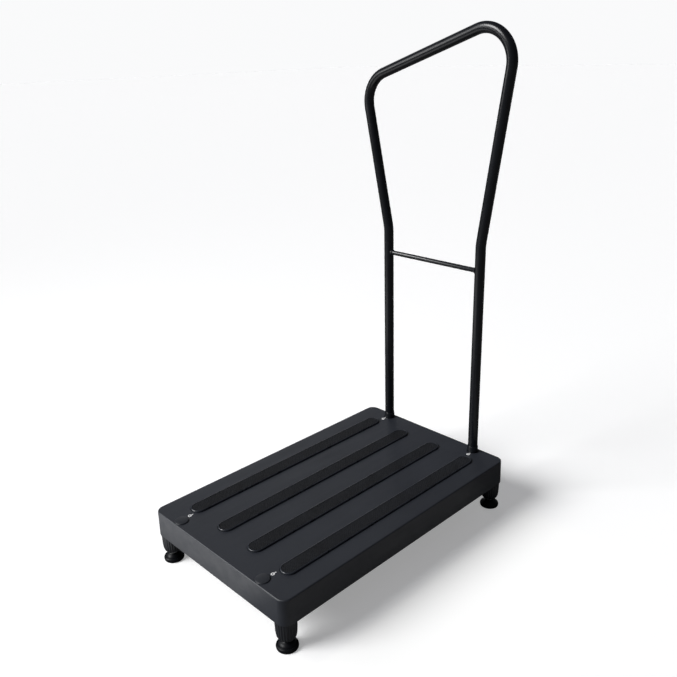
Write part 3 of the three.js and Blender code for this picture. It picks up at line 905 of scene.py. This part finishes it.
# ---- CAD nodes that stay, with their finish -----------------------------------------------------
STEEL_NODES = ("clamp_pad", "leg_nut", "leg_screw")
for name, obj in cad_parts.items():
    if name.startswith(STEEL_NODES):
        for material_slot in obj.material_slots:
            material_slot.material = ZINC


# ---- stage --------------------------------------------------------------------------------------
CAMERA_PLACE = (0.8840, -0.8333, 0.8602)
CAMERA_AZIMUTH = 46.215
CAMERA_ELEVATION = 21.016
CAMERA_ROLL = -1.713
CAMERA_LENS = 39.87
SENSOR = 36.0
BACKDROP = 0.957  # the world as the camera sees it, level with the far floor
BACKDROP_TINT = (0.997, 1, 1.007, 1)
ROOM = 0.07  # the world as the object sees it
ROOM_TINT = (0.94, 0.97, 1.12, 1)
FLOOR_GLOW = 0.31
FLOOR_HALF = 30.0
CARD_HEIGHT = 0.5 * MM
CARDS = (  # name, x and y ranges, and glow of the unseen cards that light the object from the floor
    ("front_card", (-1.3, 0.03), (-1.1, -0.33), 1.12),
    ("right_card", (0.22, 0.5), (-0.33, 0.3), 0.07),
)


def look_along(direction, roll=0.0):
    """The rotation of a camera or light that looks along a direction, rolled about it."""
    back = -Vector(direction).normalized()
    right = Vector((0, 0, 1)).cross(back).normalized()
    up = back.cross(right)
    turned_right = right * math.cos(roll) + up * math.sin(roll)
    turned_up = up * math.cos(roll) - right * math.sin(roll)
    return Matrix((turned_right, turned_up, back)).transposed().to_4x4()


def direction_from(azimuth, elevation):
    """The direction from a place in the scene towards one at that azimuth (0 is -Y, 90 is +X)."""
    a, e = math.radians(azimuth), math.radians(elevation)
    return Vector((math.sin(a) * math.cos(e), -math.cos(a) * math.cos(e), math.sin(e)))


def add_camera():
    data = bpy.data.cameras.new("camera")
    data.lens = CAMERA_LENS
    data.sensor_width = SENSOR
    camera = bpy.data.objects.new("camera", data)
    view = -direction_from(CAMERA_AZIMUTH, CAMERA_ELEVATION)
    camera.matrix_world = look_along(view, math.radians(CAMERA_ROLL))
    camera.matrix_world.translation = Vector(CAMERA_PLACE)
    bpy.context.scene.collection.objects.link(camera)
    bpy.context.scene.camera = camera


def add_sun(name, azimuth, elevation, strength, spread):
    data = bpy.data.lights.new(name, "SUN")
    data.energy = strength
    data.angle = math.radians(spread)
    light = bpy.data.objects.new(name, data)
    light.matrix_world = look_along(-direction_from(azimuth, elevation))
    bpy.context.scene.collection.objects.link(light)


def add_softbox(name, place_at, target, width, height, power):
    data = bpy.data.lights.new(name, "AREA")
    data.shape = "RECTANGLE"
    data.size = width
    data.size_y = height
    data.energy = power
    light = bpy.data.objects.new(name, data)
    light.matrix_world = look_along(Vector(target) - Vector(place_at))
    light.matrix_world.translation = Vector(place_at)
    bpy.context.scene.collection.objects.link(light)


def studio_material(name, colour, seen_glow, lit_colour, lit_glow):
    """One finish for the camera, and a darker one for the light that the stage gives the object."""
    nodes = Nodes(name)
    seen = nodes.node("ShaderNodeLightPath").outputs["Is Camera Ray"]
    nodes.set(Base_Color=nodes.mix(seen, lit_colour, colour), Roughness=0.9, Specular_IOR_Level=0.0)
    glow = nodes.between(seen, lit_glow, seen_glow, 0.0, 1.0)
    nodes.set(Emission_Color=(1, 1, 1, 1), Emission_Strength=glow)
    return nodes.material


def flat_piece(name, x_range, y_range, z, material):
    (x0, x1), (y0, y1) = x_range, y_range
    obj = piece(name, [(x0, y0, z), (x1, y0, z), (x1, y1, z), (x0, y1, z)], [(0, 1, 2, 3)], material)
    return obj


def add_floor():
    finish = studio_material("pale_floor", grey(0.8), FLOOR_GLOW, grey(0.15), 0.0)
    reach = (-FLOOR_HALF, FLOOR_HALF)
    flat_piece("floor", reach, reach, 0.0, finish)
    for name, x_range, y_range, glow in CARDS:
        finish = studio_material(name, grey(0.8), 0.0, grey(0.3), glow)
        card = flat_piece(name, x_range, y_range, CARD_HEIGHT, finish)
        card.visible_camera = False
        card.visible_shadow = False


def add_world():
    """A plain pale backdrop for the camera, and a dim cool room for the object."""
    world = bpy.data.worlds.new("studio")
    world.use_nodes = True
    bpy.context.scene.world = world
    tree = world.node_tree
    background = tree.nodes["Background"]
    path = tree.nodes.new("ShaderNodeLightPath")
    strength = tree.nodes.new("ShaderNodeMapRange")
    strength.inputs["To Min"].default_value = ROOM
    strength.inputs["To Max"].default_value = BACKDROP
    tree.links.new(path.outputs["Is Camera Ray"], strength.inputs["Value"])
    tree.links.new(strength.outputs["Result"], background.inputs["Strength"])
    tint = tree.nodes.new("ShaderNodeMix")
    tint.data_type = "RGBA"
    tint.inputs["A"].default_value = ROOM_TINT
    tint.inputs["B"].default_value = BACKDROP_TINT
    tree.links.new(path.outputs["Is Camera Ray"], tint.inputs["Factor"])
    tree.links.new(tint.outputs["Result"], background.inputs["Color"])


bpy.context.scene.view_settings.view_transform = "Standard"
add_camera()
add_world()
add_floor()
add_sun("key", azimuth=-26, elevation=35.4, strength=3.95, spread=30)
add_sun("rim", azimuth=-124, elevation=17, strength=0.13, spread=26)
add_softbox("window", (-1.25, -1.05, 1.14), target=(0, 0.27, 0.8), width=0.75, height=0.8, power=8.5)
